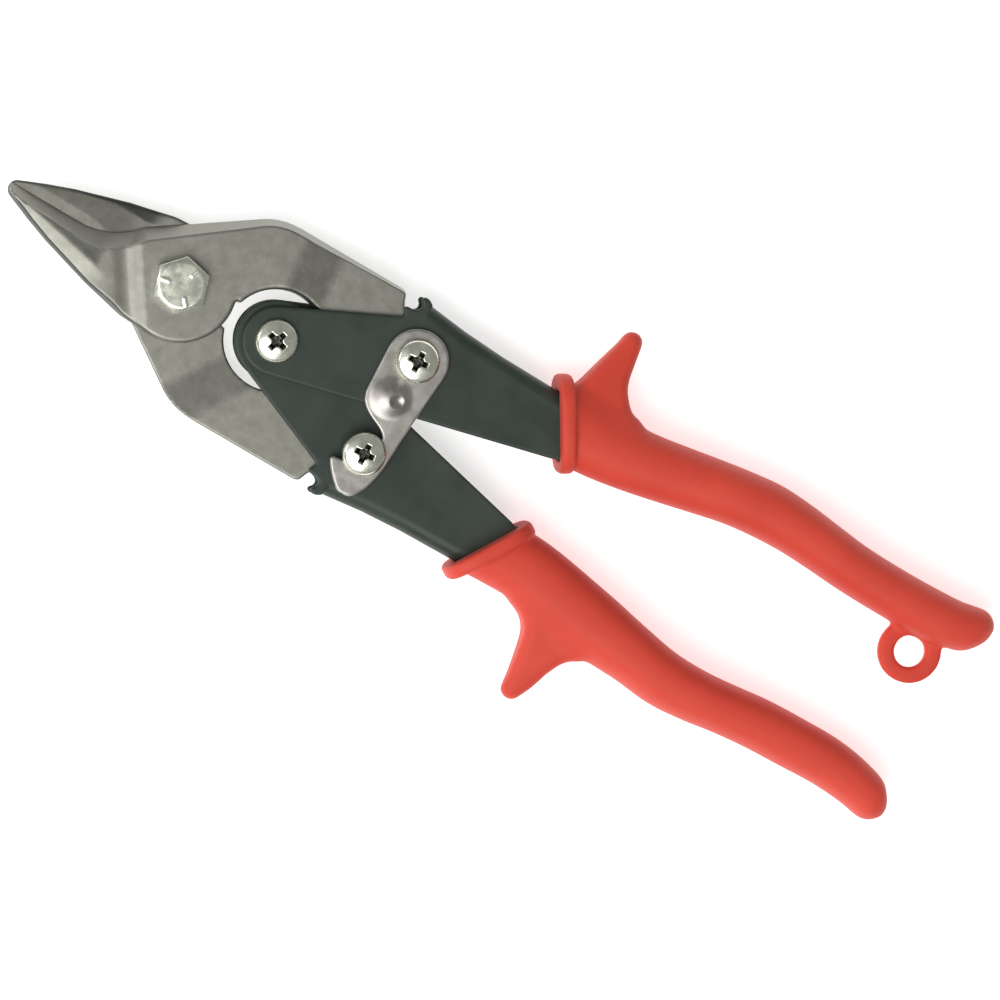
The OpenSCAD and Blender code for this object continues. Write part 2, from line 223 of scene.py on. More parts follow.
def onto_surface(field, points):
    """Points moved onto the zero level by one step along the slope of the field."""
    top = np.array(field.shape) - 2
    base = np.clip(np.floor(points).astype(int), 0, top)
    u, v, w = (points - base).T
    c = {p: field[tuple((base + p).T)] for p in CORNERS}

    def mix(wx, wy, wz):
        return sum(c[p] * wx[p[0]] * wy[p[1]] * wz[p[2]] for p in CORNERS)

    flat = (-1.0, 1.0)
    ux, vy, wz = (1 - u, u), (1 - v, v), (1 - w, w)
    value = mix(ux, vy, wz)
    grade = np.stack([mix(flat, vy, wz), mix(ux, flat, wz), mix(ux, vy, flat)], 1)
    size = np.maximum((grade ** 2).sum(1), 1e-9)
    move = -(value / size)[:, None] * grade
    length = np.linalg.norm(move, axis=1, keepdims=True)
    return points + move * np.minimum(1, 0.4 / np.maximum(length, 1e-9))


def piece(name, points, faces, body, slot, material, replaced=(), keep=1.0, marks=None):
    """A smooth mesh object of points in millimetres; marks are numbers for its material, by name."""
    mesh = bpy.data.meshes.new(name)
    placed = (np.array(points) + (0, 0, MID_Z)) * MM
    mesh.vertices.add(len(placed))
    mesh.vertices.foreach_set("co", placed.ravel())
    mesh.loops.add(faces.size)
    mesh.loops.foreach_set("vertex_index", faces.ravel().astype(np.int32))
    mesh.polygons.add(len(faces))
    mesh.polygons.foreach_set("loop_start", np.arange(0, faces.size, faces.shape[1], dtype=np.int32))
    mesh.update(calc_edges=True)
    mesh.validate()
    for mark, numbers in (marks or {}).items():
        mesh.attributes.new(mark, "FLOAT", "POINT").data.foreach_set("value", numbers.astype(np.float32))
    mesh.polygons.foreach_set("use_smooth", np.ones(len(mesh.polygons), bool))
    mesh.materials.append(material)
    obj = bpy.data.objects.new(name, mesh)
    bpy.context.scene.collection.objects.link(obj)
    if keep < 1:
        thin = obj.modifiers.new("thin", "DECIMATE")
        thin.ratio = keep
    if body:
        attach(obj, body)
    if replaced:
        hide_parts(*replaced)
    return obj


def flipped(points, faces):
    """The same shape turned half a turn about the X axis."""
    return points * (1, -1, -1), faces


# ------------------------------------------------------------------ materials
class Nodes:
    """A node material in the making."""

    def __init__(self, name, **settings):
        self.material = bpy.data.materials.new(name)
        self.material.use_nodes = True
        self.tree = self.material.node_tree
        self.shader = self.tree.nodes["Principled BSDF"]
        for socket, value in settings.items():
            self.shader.inputs[socket.replace("_", " ")].default_value = value
        place = self.tree.nodes.new("ShaderNodeTexCoord")
        scale = self.tree.nodes.new("ShaderNodeVectorMath")
        scale.operation = "SCALE"
        scale.inputs["Scale"].default_value = 1 / MM
        self.tree.links.new(place.outputs["Object"], scale.inputs[0])
        self.place = scale.outputs["Vector"]

    def link(self, a, b):
        self.tree.links.new(a, b)

    def noise(self, per_mm, detail=3.0, rough=0.55, stretch=None):
        """Noise with about per_mm lumps in a millimetre, drawn out along an axis if stretch is given."""
        node = self.tree.nodes.new("ShaderNodeTexNoise")
        node.inputs["Scale"].default_value = per_mm
        node.inputs["Detail"].default_value = detail
        node.inputs["Roughness"].default_value = rough
        source = self.place
        if stretch:
            move = self.tree.nodes.new("ShaderNodeMapping")
            move.inputs["Scale"].default_value = stretch
            self.link(source, move.inputs["Vector"])
            source = move.outputs["Vector"]
        self.link(source, node.inputs["Vector"])
        return node.outputs["Fac"]

    def spread(self, source, low, high, to_low, to_high):
        """source mapped from one range of numbers to another, without going past its ends."""
        node = self.tree.nodes.new("ShaderNodeMapRange")
        for socket, value in zip(("From Min", "From Max", "To Min", "To Max"), (low, high, to_low, to_high)):
            node.inputs[socket].default_value = value
        self.link(source, node.inputs["Value"])
        return node.outputs["Result"]

    def mark(self, name):
        """Numbers stored on the mesh under a name."""
        node = self.tree.nodes.new("ShaderNodeAttribute")
        node.attribute_name = name
        return node.outputs["Fac"]

    def mixed(self, factor, a, b):
        """Colour a where factor is 0 and colour b where it is 1; each is a colour or a node's output."""
        node = self.tree.nodes.new("ShaderNodeMix")
        node.data_type = "RGBA"
        sockets = [s for s in node.inputs if s.type == "RGBA"]
        for socket, value in zip(sockets, (a, b)):
            if isinstance(value, tuple):
                socket.default_value = (*value, 1)
            else:
                self.link(value, socket)
        self.link(factor, node.inputs["Factor"])
        return [s for s in node.outputs if s.type == "RGBA"][0]

    def bump(self, source, height_mm, normal=None, strength=1.0):
        """Relief of that height on the surface."""
        node = self.tree.nodes.new("ShaderNodeBump")
        node.inputs["Strength"].default_value = strength
        node.inputs["Distance"].default_value = height_mm * MM
        self.link(source, node.inputs["Height"])
        if normal:
            self.link(normal, node.inputs["Normal"])
        return node.outputs["Normal"]

    def done(self, colour=None, roughness=None, normal=None):
        for name, value in (("Base Color", colour), ("Roughness", roughness), ("Normal", normal)):
            if value is not None:
                self.link(value, self.shader.inputs[name])
        return self.material


def forged_steel():
    """Forged steel with mottled scale; the mark 'ground' is its bevel, coloured darker as painted shade, the
    bright line along the bevel's upper edge is a painted highlight, and 'scale' is painted shade on walls and
    faces turned from the light."""
    m = Nodes("forged_steel", Metallic=1.0)
    ground = m.mark("ground")
    blotch = m.noise(0.35, 4, 0.6)
    grain = m.noise(3.2, 3, 0.6)
    forged = m.mixed(m.spread(blotch, 0.35, 0.7, 0, 1), (0.25, 0.247, 0.213), (0.32, 0.316, 0.277))
    forged = m.mixed(m.spread(grain, 0.5, 0.75, 0, 0.35), forged, (0.17, 0.168, 0.145))
    # Painted shade: the mark 'scale' darkens the walls and faces of the blade that turn from the light.
    forged = m.mixed(m.mark("scale"), forged, (0.085, 0.09, 0.08))
    # Painted shade: the bevel is coloured darker because of the way it faces the light; its roughness is its
    # ground finish.
    colour = m.mixed(ground, forged, (0.235, 0.232, 0.20))
    # Painted highlight: a pale line along the upper edge of the bevel.
    colour = m.mixed(m.mark("painted_ridge_highlight"), colour, (0.62, 0.61, 0.55))
    rough = m.spread(ground, 0, 1, 0.44, 0.40)
    pits = m.bump(grain, 0.05, strength=0.45)
    strokes = m.noise(1.0, 2, 0.5, stretch=(0.5, 7, 7))
    normal = m.bump(strokes, 0.012, pits, strength=0.4)
    return m.done(colour, rough, normal)


def zinc():
    """Bright zinc plate with a faint yellow-green cast."""
    m = Nodes("zinc_plate", Metallic=1.0)
    cloud = m.noise(0.5, 3, 0.5)
    colour = m.mixed(m.spread(cloud, 0.35, 0.65, 0, 1), (0.74, 0.76, 0.64), (0.87, 0.88, 0.75))
    fine = m.noise(5, 3, 0.6)
    # Painted shade: the screw recesses are darkened where little light reaches.
    colour = m.mixed(m.mark("painted_recess_shade"), colour, (0.10, 0.10, 0.085))
    return m.done(colour, m.spread(cloud, 0.3, 0.7, 0.2, 0.32), m.bump(fine, 0.02, strength=0.3))


def nickel():
    """Satin nickel plate."""
    m = Nodes("latch_nickel", Metallic=1.0)
    cloud = m.noise(0.4, 4, 0.5)
    colour = m.mixed(m.spread(cloud, 0.35, 0.65, 0, 1), (0.36, 0.345, 0.315), (0.45, 0.43, 0.40))
    fine = m.noise(4, 4, 0.6)
    return m.done(colour, m.spread(cloud, 0.3, 0.7, 0.34, 0.42), m.bump(fine, 0.02, strength=0.35))


def lever_paint():
    """Dark green-black satin coating with fine orange peel."""
    m = Nodes("lever_paint", Metallic=0.0, Specular_IOR_Level=0.4)
    cloud = m.noise(0.12, 4, 0.55)
    colour = m.mixed(m.spread(cloud, 0.3, 0.7, 0, 1), (0.022, 0.034, 0.025), (0.036, 0.050, 0.038))
    peel = m.noise(2.2, 3, 0.5)
    rough = m.spread(cloud, 0.3, 0.7, 0.38, 0.5)
    return m.done(colour, rough, m.bump(peel, 0.03, strength=0.3))


def spring_steel():
    """Bright drawn spring wire."""
    m = Nodes("spring_steel", Metallic=1.0)
    cloud = m.noise(0.8, 3, 0.5)
    colour = m.mixed(cloud, (0.34, 0.33, 0.30), (0.5, 0.49, 0.45))
    return m.done(colour, m.spread(cloud, 0.3, 0.7, 0.25, 0.38))


def vinyl():
    """Soft red vinyl with a fine leathery skin."""
    m = Nodes("grip_vinyl", Sheen_Weight=0.05, Sheen_Roughness=0.5, Specular_IOR_Level=0.32)
    cloud = m.noise(0.05, 3, 0.5)
    colour = m.mixed(m.spread(cloud, 0.3, 0.7, 0, 1), (0.66, 0.060, 0.034), (0.74, 0.071, 0.042))
    skin = m.noise(2.6, 3, 0.6)
    rough = m.spread(skin, 0.3, 0.7, 0.52, 0.66)
    soft = m.bump(m.noise(0.25, 2, 0.5), 0.12, strength=0.5)
    return m.done(colour, rough, m.bump(skin, 0.05, soft, strength=0.4))


STEEL, ZINC, NICKEL = forged_steel(), zinc(), nickel()
PAINT, WIRE, VINYL = lever_paint(), spring_steel(), vinyl()

# ------------------------------------------------------------------ blades
HUB_R = 12.9
ARCH_R = 11.2
JAW_ARC, JAW_ARC_R = (-26, 18), 17
CORNER_ARC, CORNER_ARC_R = (17, 9), 15.3
TANG_END = [(47.2, 20.3), (45.6, 21.2), (45, 22.6), (44.6, 23.8), (43.6, 24.3)]
BLADE_PLAN = rounded(
    [(-43, 1), (-43, -0.6), (-42.3, -1.7), (-36, -4.4), (-30, -6.6), (-18, -10.2), (-8, -12.45)]
    + arc((0, 0), HUB_R, 262, 374, 18) + arc(HUB, ARCH_R, 164, 70, 14) + arc(TANG, 8, 252, 470, 24)
    + TANG_END + arc(CORNER_ARC, CORNER_ARC_R, 90, 125, 6) + arc(JAW_ARC, JAW_ARC_R, 320, 270, 10), 0.8)
CUTTING_EDGE = ([(-46, 1)] + arc(JAW_ARC, JAW_ARC_R, 270, 320, 10) + arc(CORNER_ARC, CORNER_ARC_R, 125, 90, 6)
                + TANG_END[::-1] + [(48.5, 20)])
# Plan width of the ground bevel by place along the tool.
BEVEL_AT = (-43, -38, -32, -25, -19, -14, -12, -3, 6, 10, 22, 30, 46)
BEVEL_WIDTH = (2.3, 2.6, 2.8, 3.3, 4.0, 3.4, 3.0, 2.4, 1.8, 1.5, 1.4, 1.0, 0.5)
SHOULDER = (-10.05, -2.7)
SHOULDER_WAY = (-0.831, -0.556)
# Line along the jaw where its ground side face meets its forged top.
CROWN = (-17.2, -6.1)
CROWN_ACROSS = (0.2135, 0.977)
DRAFT = 0.24


def blade_parts(x, y, z, tang_hole_r):
    """The front blade's fields: all but its bevel, its bevel, its wall, its ground face and its plan, and
    the height above its contact side."""
    plan = outline_distance(BLADE_PLAN, x, y)
    edge = path_distance(CUTTING_EDGE, x, y)
    jaw = ramp(-x, 4, 12)
    ahead = SHOULDER_WAY[0] * (x - SHOULDER[0]) + SHOULDER_WAY[1] * (y - SHOULDER[1])
    inward = CROWN_ACROSS[0] * (x - CROWN[0]) + CROWN_ACROSS[1] * (y - CROWN[1])
    ground_face = np.minimum(inward, -17.3 - x)
    dip = 0.85 * ramp(ahead, -2.2, 1.8) - 0.2 * ramp(ahead, 2, 5) + 0.035 * np.maximum(-16 - x, 0)
    dip = dip + 0.15 * np.maximum(-inward, 0) * ramp(-x, 13, 20)
    dip = dip + (0.04 + 0.06 * np.maximum(inward, 0)) * ramp(ground_face, 0, 1.5)
    fall = slope(x + 0.12 * (y - 15), 20.1, 28.8)
    top = BLADE_TOP - TANG_DROP * fall - dip
    relief = 0.12 * np.maximum(edge - 4.2, 0) * ramp(-x, 10, 17)
    bottom = FACE - TANG_DROP * slope(x + 0.69 * (y - 15), 12.1, 23.2) + relief
    wall = plan + (0.05 + (DRAFT - 0.05) * jaw) * np.maximum(z - bottom - 0.5, 0)
    body = meet(wall, z - top, 0.75 - 0.4 * jaw)
    body = meet(body, bottom - z, 0.2 + 0.5 * jaw * ramp(edge, 3, 5))
    width = np.interp(x, BEVEL_AT, BEVEL_WIDTH)
    rate = (top - bottom) / width
    bevel = (z - bottom - rate * edge) / np.sqrt(1 + rate ** 2)
    for c, r in (((0, 0), BOLT_HOLE_R), (TANG, tang_hole_r)):
        body = np.maximum(body, r - np.hypot(x - c[0], y - c[1]))
    return body, bevel, wall, ground_face, plan, z - bottom


def make_blade(name, body, tang_hole_r, node, turn):
    def shape(x, y, z):
        rest, bevel = blade_parts(x, y, z, tang_hole_r)[:2]
        return -join(-rest, -bevel, 0.2)

    points, faces = surface(shape, (-44, -14, -3), (63, 28, 6), 0.3)
    x, y, z = points.T
    rest, bevel, wall, ground_face, plan, above = blade_parts(x, y, z, tang_hole_r)
    ground = np.clip((bevel - rest) / 0.5 + 1, 0, 1)
    # Painted highlight: a pale line along the upper edge of the bevel, away from the contact side.
    painted_ridge_highlight = np.clip(1 - np.abs(bevel - rest) / 0.28, 0, 1) * (above > 2)
    # Painted shade, kept under the mark 'scale': the jaw's side wall, a band along the outer edge of its
    # contact face, and its ground side face.
    side = np.clip((wall + 0.4) / 0.25, 0, 1) * np.clip((3 - x) / 4, 0, 1)
    back = np.clip((plan + np.interp(x, (-43, -30, -21, -13), (0.4, 0.7, 1.2, 3.2))) / 0.4, 0, 1)
    back = back * (above < 1) * np.clip((-9 - x) / 3, 0, 1)
    face = 0.45 * np.clip(ground_face / 1.5, 0, 1) * (above > 2)
    scale = np.maximum(np.maximum(side, back), face) * (1 - ground)
    if turn:
        points, faces = flipped(points, faces)
    return piece(name, points, faces, body, "blade_steel", STEEL, [node], 0.5,
                 {"ground": ground, "painted_ridge_highlight": painted_ridge_highlight, "scale": scale})


make_blade("forged_blade_front", "front_blade", SLEEVE_HOLE_R, "front_blade", False)
make_blade("forged_blade_rear", "rear_blade", LOOSE_HOLE_R, "rear_blade", True)

# ------------------------------------------------------------------ levers
SHEET = 1.55
NEST = 0.805
CHANNEL_HALF = 2.6
BEND_R = 3.2
LUG_X = 50.5
SPINE_X = (50.5, 60, 70, 82, 96, 104)
SPINE_Y = (24, 22.9, 22.3, 22.1, 21.5, 21.2)
TAIL = [(90, 8.2), (97, 10.8), (101, 11.6), (101, 21.3), (96, 21.5), (82, 22.1), (70, 22.3), (60, 22.9)]
LUG = [(50.5, 24), (49.4, 24.8), (48.3, 25), (47.6, 24.6), (47.6, 23.9), (48.3, 23.3), (48.5, 22.4),
       (47.9, 21.6), (46.8, 21.2), (45.6, 21.2), (45, 20.8), (45.9, 18.8)]
OUTER_PLAN = rounded(arc(HUB, 7.6, 115.3, 283.7, 18) + TAIL + LUG, 0.5)
INNER_PLAN = rounded(arc(HUB, 9, 111.8, 278, 18) + [(58, 0.8)] + TAIL + LUG, 0.5)


def lever(x, y, z):
    """The upper lever: outer plate in front, inner plate behind, folded over along its outer edge."""
    level = z - NEST
    plan = np.where(level > 0, outline_distance(OUTER_PLAN, x, y), outline_distance(INNER_PLAN, x, y))
    middle = CHANNEL_HALF + SHEET / 2
    plates = meet(plan, np.abs(np.abs(level) - middle) - SHEET / 2, 0.35)
    spine = (y - np.interp(x, SPINE_X, SPINE_Y)) * 0.9985
    outside = meet(spine, np.abs(level) - CHANNEL_HALF - SHEET, BEND_R)
    hollow = meet(spine + SHEET, np.abs(level) - CHANNEL_HALF, BEND_R - SHEET)
    wall = np.maximum(np.maximum(outside, -hollow), LUG_X - x)
    wall = np.maximum(meet(wall, x - 101, 0.3), 15 - y)
    folded = np.where(x > LUG_X + 0.1, np.maximum(plates, outside), plates)
    solid = np.minimum(folded, wall)
    for c in (HUB, TANG):
        solid = np.maximum(solid, SLEEVE_HOLE_R - np.hypot(x - c[0], y - c[1]))
    return solid


lever_points, lever_faces = surface(lever, (14, -10, -4.2), (102, 26, 6), 0.3)
piece("channel_lever_upper", lever_points, lever_faces, "upper_lever", "lever_paint", PAINT,
      ["upper_lever"], 0.5)
piece("channel_lever_lower", *flipped(lever_points, lever_faces), "lower_lever", "lever_paint", PAINT,
      ["lower_lever"], 0.5)

# ------------------------------------------------------------------ latch
LATCH_LOW, LATCH_TOP = 5.055, 6.555
OPEN_STEPS = [0.5 + i for i in range(10)]


def turned(p, c, degrees):
    a = math.radians(degrees)
    dx, dy = p[0] - c[0], p[1] - c[1]
    return (c[0] + dx * math.cos(a) - dy * math.sin(a), c[1] + dx * math.sin(a) + dy * math.cos(a))


def neck_seen(opened):
    """Place of the lower screw's neck seen from the latch, when the handles are open by some degrees."""
    return turned(turned(LOWER_TANG, HUB, -opened), TANG, -2.7 * opened)


def slot_floor(opened, room=2.35):
    ahead, behind = np.array(neck_seen(opened + 0.5)), np.array(neck_seen(max(opened - 0.5, 0)))
    way = (ahead - behind) / np.linalg.norm(ahead - behind)
    return tuple(np.array(neck_seen(opened)) + room * np.array((-way[1], way[0])))


LATCH_PLAN = rounded(
    arc(TANG, 7.2, -12, 188, 16) + [(46.7, 0.4), (47, -15.2), (47.9, -17.4), (51.4, -21), (52.6, -21.7)]
    + arc((54.2, -19.4), 2.3, 255, 320, 3) + [(57.9, -17.7), (59, -13.4), (59.4, -2)], 3.0)
LATCH_SLOT = rounded(
    arc(LOWER_TANG, 2.35, 60, -70, 6) + [slot_floor(m) for m in OPEN_STEPS]
    + [(40, -18), (40, 1), (46.5, 0.3), (47.4, -1.5), (49.6, -3.5), (54.2, -5.4), (55.6, -7.2)], 2.4)
DOME, DOME_R, DOME_H = (52.3, 1.8), 4.1, 1.3
DENT, DENT_DEEP = (54.4, 1.9), 0.45


def ball(x, y, z, c, r, height, base):
    """A ball that shows above a level as a cap of radius r and that height."""
    radius = (r * r + height * height) / (2 * height)
    return np.sqrt((x - c[0]) ** 2 + (y - c[1]) ** 2 + (z - base - height + radius) ** 2) - radius


def latch(x, y, z):
    plan = meet(outline_distance(LATCH_PLAN, x, y), -outline_distance(LATCH_SLOT, x, y), 0.9)
    plate = meet(meet(plan, z - LATCH_TOP, 0.45), LATCH_LOW - z, 0.15)
    cap = np.maximum(ball(x, y, z, DOME, DOME_R, DOME_H, LATCH_TOP), LATCH_LOW + 0.5 - z)
    solid = join(plate, cap, 0.7)
    away = np.hypot(x - DENT[0], y - DENT[1])
    surface_at = LATCH_TOP + DOME_H * 0.62
    dent = np.sqrt(away ** 2 + (z - surface_at - 2.2) ** 2) - (2.2 + DENT_DEEP)
    solid = cut(solid, dent, 0.25)
    return np.maximum(solid, SLEEVE_HOLE_R - np.hypot(x - TANG[0], y - TANG[1]))


piece("hook_latch", *surface(latch, (44.5, -23.5, 4.5), (62, 20, 8.6), 0.2), "latch", "latch_nickel", NICKEL,
      ["latch"], 0.5)

# ------------------------------------------------------------------ screws and bolt
HEAD_R, HEAD_H, SHANK_R = 4.85, 2.5, 2.1
# The dome of a head is a ball with its centre this far below the head.
DOME_BELOW = 9.5


def pan_screw(turn):
    """Field of a pan head with its underside at 0, a cross recess turned by some degrees, and a shank."""
    c, s = math.cos(math.radians(turn)), math.sin(math.radians(turn))

    def shape(x, y, z):
        away = np.hypot(x, y)
        dome = np.sqrt(away ** 2 + (z + DOME_BELOW) ** 2) - (DOME_BELOW + HEAD_H)
        head = meet(meet(away - HEAD_R, dome, 0.9), -z, 0.15)
        u, v = np.abs(x * c + y * s), np.abs(-x * s + y * c)
        deep = HEAD_H - z
        wings = np.maximum(np.minimum(v, u) - (0.62 - 0.1 * deep), np.maximum(u, v) - (2.5 - 0.7 * deep))
        heart = (u + v - (1.75 - 0.5 * deep)) * 0.7
        recess = np.maximum(np.minimum(wings, heart), deep - 1.9)
        shank = np.maximum(away - SHANK_R, z - 0.5)
        return np.minimum(cut(head, recess, 0.12), shank)

    return shape


for name, node, place, turn in (("pan_screw_hub", "hub_screw", HUB, -15),
                                ("pan_screw_upper", "upper_tang_screw", TANG, 4),
                                ("pan_screw_lower", "lower_tang_screw", LOWER_TANG, 4)):
    points, faces = surface(pan_screw(turn), (-5.3, -5.3, -8.6), (5.3, 5.3, 2.9), 0.14)
    under = heights(node)[1] - MID_Z - HEAD_H
    owner = "lower_lever" if "lower" in name else "upper_lever"
    away, level = np.hypot(points[:, 0], points[:, 1]), points[:, 2]
    full = np.sqrt(np.maximum((DOME_BELOW + HEAD_H) ** 2 - away ** 2, 0)) - DOME_BELOW
    # Painted shade: the deep parts of the cross recess, below the dome, are darkened.
    painted_recess_shade = np.clip((full - level - 0.25) / 0.5, 0, 1) * (away < 3) * (level > 0)
    piece(name, points + (*place, under), faces, owner, "zinc_plate", ZINC, [node], 0.5, {"painted_recess_shade": painted_recess_shade})

BOLT_AF, BOLT_H, BOLT_R = 11.1, 4.0, 3.175
BOLT_CORNER = 47.6
DASH_AT = (24, 144, 264)


def hex_bolt(x, y, z):
    """Hex bolt from its end on the rest plane to the raised grade dashes on its head."""
    away = np.hypot(x, y)
    sides = np.full(np.broadcast(x, y).shape, -1e9)
    for i in range(3):
        a = math.radians(BOLT_CORNER + 30 + 60 * i)
        sides = np.maximum(sides, np.abs(x * math.cos(a) + y * math.sin(a)) - BOLT_AF / 2)
    lean = math.radians(30)
    crown = (away - 5.05) * math.sin(lean) + (z - BLADE_TOP - BOLT_H) * math.cos(lean)
    head = meet(meet(sides, z - BLADE_TOP - BOLT_H, 0.15), crown, 0.12)
    head = np.maximum(head, BLADE_TOP - z)
    for turn in DASH_AT:
        a = math.radians(BOLT_CORNER + turn)
        u, v = x * math.cos(a) + y * math.sin(a) - 3.75, -x * math.sin(a) + y * math.cos(a)
        dash = np.maximum(np.hypot(np.maximum(np.abs(u) - 0.75, 0), v) - 0.28, z - BLADE_TOP - BOLT_H - 0.12)
        dash = np.maximum(dash, BLADE_TOP + BOLT_H - 0.5 - z)
        head = join(head, dash, 0.2)
    end = -MID_Z - z
    shank = meet(meet(away - BOLT_R, end, 0.1), 0.7071 * (away - BOLT_R + 0.5 + end), 0.05)
    return np.minimum(head, np.maximum(shank, z - BLADE_TOP - 0.5))


piece("hex_bolt", *surface(hex_bolt, (-6.9, -6.9, -10.2), (6.9, 6.9, 9.7), 0.15), "front_blade", "zinc_plate",
      ZINC, ["pivot_bolt"], 0.4)

# ------------------------------------------------------------------ return spring
WIRE_R, COIL_R, COIL_HALF = 0.6, 5.2, 0.94
LEG_END, LEG_TIP = (45, 3.76), 2.6


def wire_path():
    """Centre line of the spring: a leg, one and a half turns of coil, a leg."""
    leg = [(LEG_END[0], LEG_END[1], LEG_TIP), (LEG_END[0], LEG_END[1], COIL_HALF + 0.8),
           (LEG_END[0] - 0.2, LEG_END[1] + 0.02, COIL_HALF + 0.25),
           (LEG_END[0] - 0.8, LEG_END[1] + 0.06, COIL_HALF)]
    coil = [(HUB[0] + COIL_R * math.cos(a), COIL_R * math.sin(a), COIL_HALF * (1 - 2 * t))
            for t in np.linspace(0, 1, 61) for a in [math.radians(86 + 548 * t)]]
    return leg + coil + [(px, -py, -pz) for px, py, pz in reversed(leg)]


def tube(path, r, around=16):
    """Points and faces of a round wire along a path, with rounded ends."""
    path = np.array(path)
    way = np.gradient(path, axis=0)
    way /= np.linalg.norm(way, axis=1, keepdims=True)
    side = np.cross(way[0], (0, 1, 0))
    rings = []
    for p, d in zip(path, way):
        side = side - d * np.dot(side, d)
        side /= np.linalg.norm(side)
        other = np.cross(d, side)
        angles = np.arange(around) * 2 * math.pi / around
        rings.append(p + r * (np.cos(angles)[:, None] * side + np.sin(angles)[:, None] * other))
    ends = [(path[0] - way[0] * r * 0.35 * s, f) for s, f in ((0.7, 0.75), (1.0, 0.35))]
    first = [p + (rings[0] - path[0]) * f for p, f in ends][::-1]
    ends = [(path[-1] + way[-1] * r * 0.35 * s, f) for s, f in ((0.7, 0.75), (1.0, 0.35))]
    last = [p + (rings[-1] - path[-1]) * f for p, f in ends]
    rings = first + rings + last
    points = np.concatenate(rings)
    k = np.arange(around)
    nxt = (k + 1) % around
    quads = [np.stack([i * around + k, i * around + nxt, (i + 1) * around + nxt, (i + 1) * around + k], 1)
             for i in range(len(rings) - 1)]
    return points, np.concatenate(quads)


def make_spring():
    obj = piece("torsion_spring", *tube(wire_path(), WIRE_R), None, "spring_steel", WIRE)
    mesh = obj.data
    bm = bmesh.new()
    bm.from_mesh(mesh)
    bmesh.ops.holes_fill(bm, edges=[e for e in bm.edges if e.is_boundary], sides=0)
    bmesh.ops.recalc_face_normals(bm, faces=bm.faces)
    bm.to_mesh(mesh)
    bm.free()
    mesh.polygons.foreach_set("use_smooth", np.ones(len(mesh.polygons), bool))
    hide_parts("return_spring")
    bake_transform(obj)


make_spring()

# ------------------------------------------------------------------ grips
UPPER = {
    "x": (84, 92, 98, 104, 110, 117, 124, 132, 139, 147, 154, 162, 172, 182, 188, 193, 197),
    "inner": (8.3, 8.4, 8.7, 9.5, 10.6, 12.1, 13.7, 15.4, 16.2, 16.5, 16.2, 15.7, 15.5, 15.7, 16.3, 17.6,
              19.5),
    "outer": (24.6, 24.4, 24.2, 24.5, 25.1, 26.2, 27.4, 28.6, 29.3, 28.9, 28.1, 27.2, 26.9, 27.1, 27.5, 28.4,
              28.6),
    "half": (8.1, 8.1, 8.2, 8.3, 8.7, 9.1, 9.5, 9.8, 9.8, 9.8, 9.6, 9.3, 9.0, 8.7, 8.3, 7.7, 7.0),
    "mouth": ((93.6, 6.3), (82.3, 25)),
    "end": (196.8, 24.5, -0.1),
    "horn": [(90, 16), (87.4, 25.2), (89.3, 32.6), (91, 38.8)] + arc((93.4, 39.8), 2.3, 165, 10, 6)
            + [(96.2, 36.6), (96.8, 32.7), (97.6, 30), (99.5, 27.6), (101.3, 25.8), (104, 25), (106, 16)],
    "tip": (93.4, 42),
    "root": (95, 24),
}
LOWER = {
    "x": (82, 92, 98, 103, 108, 113, 120, 128, 138, 146, 153, 160, 170, 180, 187, 192, 196),
    "inner": (8.0, 8.0, 8.0, 8.5, 9.3, 10.2, 11.5, 13.2, 14.9, 15.0, 14.4, 13.6, 13.2, 13.3, 14.4, 15.9, 18),
    "outer": (23.4, 23.0, 23.0, 23.8, 24.8, 26.0, 26.5, 26.8, 27.7, 27.1, 26.1, 25.4, 25.0, 24.7, 25.2, 26.0,
              26.2),
    "half": (8.1, 8.1, 8.2, 8.3, 8.6, 8.9, 9.4, 9.7, 9.8, 9.8, 9.6, 9.4, 9.0, 8.7, 8.2, 7.6, 7.0),
    "mouth": ((93.2, 6), (82, 24.4)),
    "end": (195.9, 21.1, 0),
    "horn": [(100, 16), (99, 22.6), (101.8, 24.2), (103.6, 25.9), (105, 28.2), (105.9, 32.9), (106.6, 37.4)]
            + arc((109.1, 40.2), 2.3, 170, 20, 6)
            + [(112.8, 37.7), (113.9, 33.7), (115.4, 30.2), (117.1, 28.2), (118.8, 26.9), (119, 18)],
    "tip": (109.1, 42.4),
    "root": (109, 26),
}
POWER = 2.4
# Half sizes and thickness of the bead at a grip's mouth.
BEAD_LONG, BEAD_HIGH, BEAD_THICK = 11.1, 9.4, 3.3
# Half thickness of a guard horn at its root, and how much less it is at its tip.
HORN_ROOT, HORN_TAPER = 5.4, 2.6


def curve(x, xs, ys):
    """A smooth line through the points (xs, ys), read at x."""
    xs, ys = np.array(xs, float), np.array(ys, float)
    rate = np.gradient(ys, xs)
    i = np.clip(np.searchsorted(xs, x) - 1, 0, len(xs) - 2)
    h = xs[i + 1] - xs[i]
    t = np.clip((x - xs[i]) / h, 0, 1)
    return ((1 + 2 * t) * (1 - t) ** 2 * ys[i] + t * (1 - t) ** 2 * h * rate[i]
            + t * t * (3 - 2 * t) * ys[i + 1] + t * t * (t - 1) * h * rate[i + 1])


def oval(u, v, half_u, half_v, power=POWER):
    """Distance to a rounded oval section, from places u and v across it."""
    a, b = np.abs(u) / half_u, np.abs(v) / half_v
    size = np.maximum((a ** power + b ** power) ** (1 / power), 1e-6)
    steep = np.hypot((a / size) ** (power - 1) / half_u, (b / size) ** (power - 1) / half_v)
    return (size - 1) / np.maximum(steep, 1e-6)


